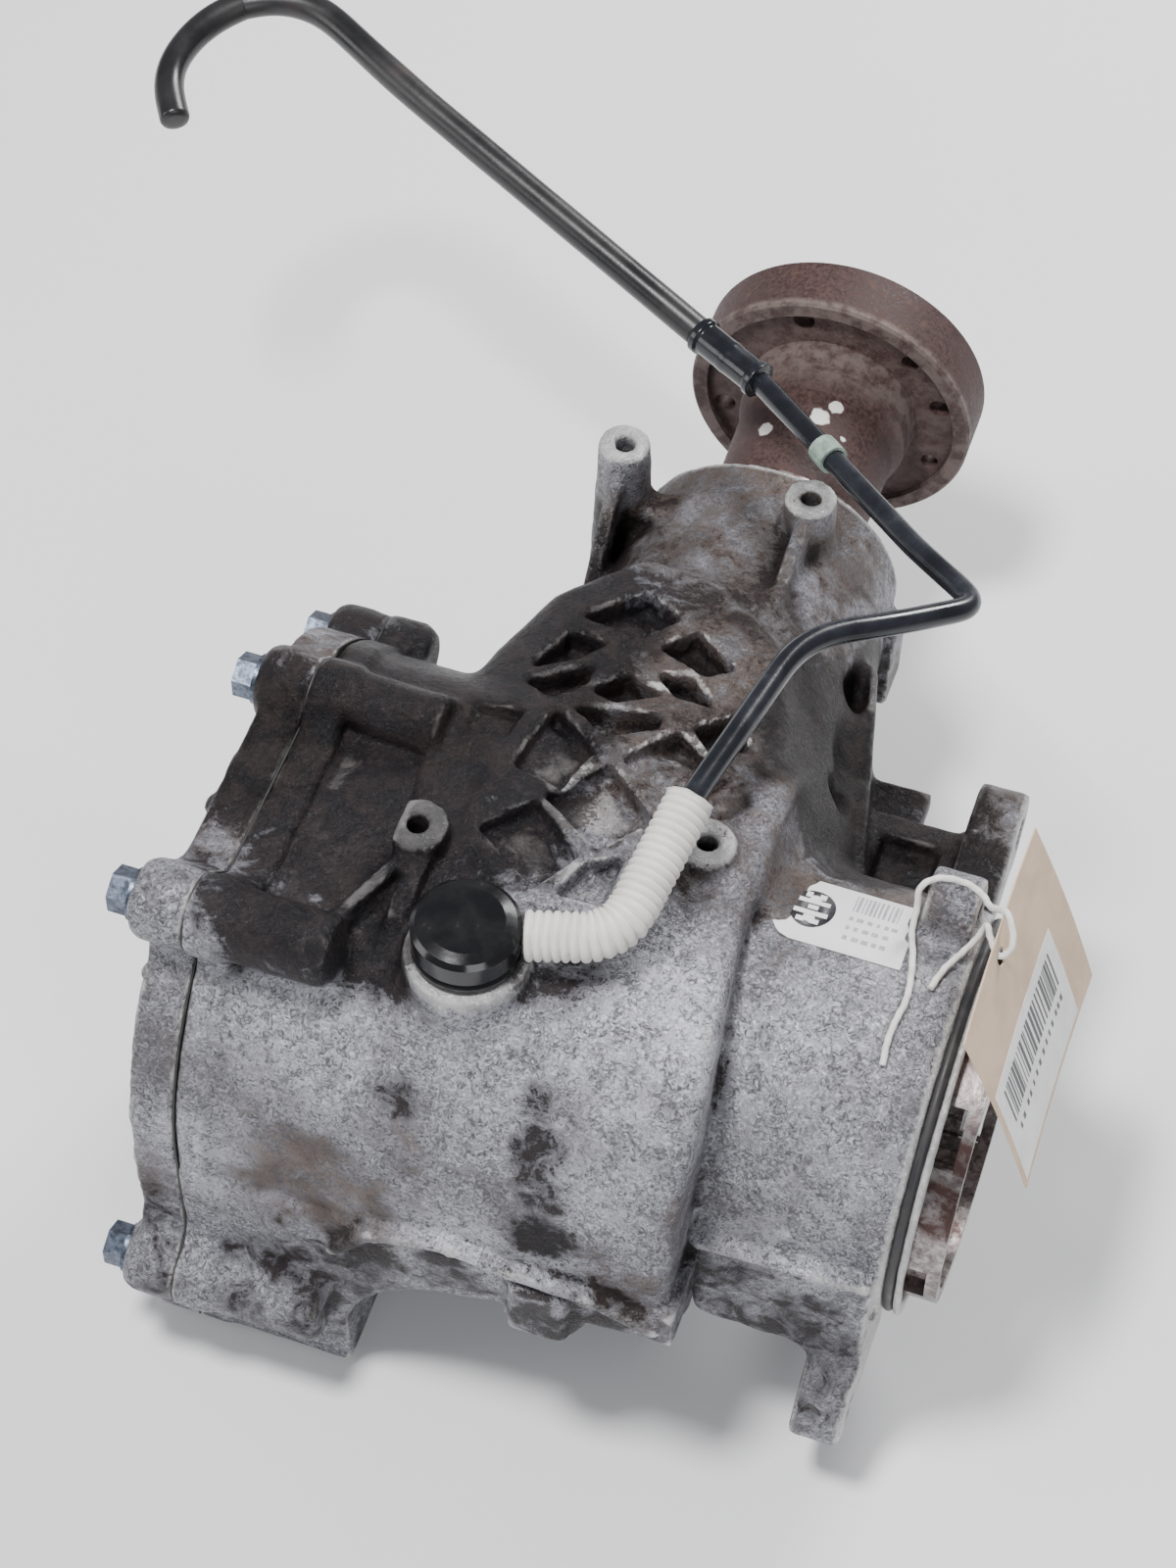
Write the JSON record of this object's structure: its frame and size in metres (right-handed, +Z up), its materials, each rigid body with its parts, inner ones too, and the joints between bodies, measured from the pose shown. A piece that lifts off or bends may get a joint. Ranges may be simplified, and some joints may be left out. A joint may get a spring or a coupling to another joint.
{
  "type": "bevel transfer gearbox",
  "caption": "Right-angle bevel transfer gearbox: cast casing, hollow cross shaft with splined hub, flanged output shaft and hooked breather pipe.",
  "frame": {"origin": "where the hollow cross shaft axis meets the pinion axis, on the axis of the driveshaft bore", "axes": "+X along the cross shaft out of the gearbox end, +Y out of the output flange, +Z up towards the breather"},
  "size_m": [0.4213, 0.4424, 0.2311],
  "materials": {
    "cast_alloy": "rough cast, oily and stained",
    "gasket": "liquid gasket line",
    "fastener_steel": "dull zinc, worn",
    "copper_washer": "dull copper",
    "seal_rubber": "matt",
    "bearing_steel": "ground",
    "cage_steel": "pressed",
    "gear_steel": "machined, oily",
    "rusty_steel": "brown surface rust",
    "cap_plastic": "moulded, semi gloss",
    "hose_rubber": "semi gloss",
    "clip_plastic": "faded marker band",
    "sheath_plastic": "ribbed, dirty white",
    "label_paper": "printed with plain bars",
    "tag_paper": "manila card",
    "string_fabric": "cotton string"
  },
  "bodies": {
    "casing": {"main_housing": "cast_alloy", "side_cover": "cast_alloy", "cover_gasket": "gasket", "cover_bolts": "fastener_steel", "dowel_pins": "fastener_steel", "left_shaft_seal": "seal_rubber", "input_seal": "seal_rubber", "spigot_o_ring": "seal_rubber", "fill_plug": "fastener_steel", "drain_plug": "fastener_steel", "plug_washers": "copper_washer", "left_bearing_cup": "bearing_steel", "right_bearing_cup": "bearing_steel", "head_bearing_cup": "bearing_steel", "tail_bearing_cup": "bearing_steel", "pinion_oil_seal": "seal_rubber", "pinion_shim": "fastener_steel", "breather_nipple": "fastener_steel", "housing_label": "label_paper", "tag_card": "tag_paper", "tag_sticker": "label_paper", "tag_string": "string_fabric"},
    "cross_shaft": {"input_shaft": "gear_steel", "input_hub": "gear_steel", "hub_snap_ring": "fastener_steel", "crown_wheel": "gear_steel", "crown_wheel_bolts": "fastener_steel", "left_bearing_cone": "bearing_steel", "right_bearing_cone": "bearing_steel"},
    "left_roller_set": {"left_bearing_rollers": "bearing_steel", "left_bearing_cage": "cage_steel"},
    "right_roller_set": {"right_bearing_rollers": "bearing_steel", "right_bearing_cage": "cage_steel"},
    "pinion": {"pinion_shaft": "gear_steel", "head_bearing_cone": "bearing_steel", "tail_bearing_cone": "bearing_steel", "collapsible_spacer": "gear_steel", "output_flange": "rusty_steel", "dust_deflector": "rusty_steel", "flange_nut": "fastener_steel"},
    "head_roller_set": {"head_bearing_rollers": "bearing_steel", "head_bearing_cage": "cage_steel"},
    "tail_roller_set": {"tail_bearing_rollers": "bearing_steel", "tail_bearing_cage": "cage_steel"},
    "breather_line": {"breather_cap": "cap_plastic", "cap_nozzle": "cap_plastic", "hose_sheath": "sheath_plastic", "breather_hose": "hose_rubber", "hose_clip": "clip_plastic", "joining_sleeve": "hose_rubber", "hook_pipe": "hose_rubber"}
  },
  "joints": [
    {"name": "crown_spin", "type": "hinge", "parent": "casing", "child": "cross_shaft", "pos_m": [0, 0, 0], "axis": [1, 0, 0], "continuous": true},
    {"name": "pinion_spin", "type": "hinge", "parent": "casing", "child": "pinion", "pos_m": [0, 0, 0], "axis": [0, 1, 0], "continuous": true},
    {"name": "left_rollers_spin", "type": "hinge", "parent": "casing", "child": "left_roller_set", "pos_m": [-0.09, 0, 0], "axis": [1, 0, 0], "continuous": true},
    {"name": "right_rollers_spin", "type": "hinge", "parent": "casing", "child": "right_roller_set", "pos_m": [0.044, 0, 0], "axis": [1, 0, 0], "continuous": true},
    {"name": "head_rollers_spin", "type": "hinge", "parent": "casing", "child": "head_roller_set", "pos_m": [0, 0.09, 0], "axis": [0, 1, 0], "continuous": true},
    {"name": "tail_rollers_spin", "type": "hinge", "parent": "casing", "child": "tail_roller_set", "pos_m": [0, 0.161, 0], "axis": [0, 1, 0], "continuous": true},
    {"name": "breather_swivel", "type": "hinge", "parent": "casing", "child": "breather_line", "pos_m": [-0.024, -0.046, 0.095], "axis": [0, 0, 1], "range_deg": [-6, 6]}
  ],
  "couplings": [
    {"joint": "pinion_spin", "follows": "crown_spin", "ratio": 2.5333},
    {"joint": "left_rollers_spin", "follows": "crown_spin", "ratio": 0.4},
    {"joint": "right_rollers_spin", "follows": "crown_spin", "ratio": 0.4},
    {"joint": "head_rollers_spin", "follows": "crown_spin", "ratio": 0.912},
    {"joint": "tail_rollers_spin", "follows": "crown_spin", "ratio": 0.912}
  ]
}
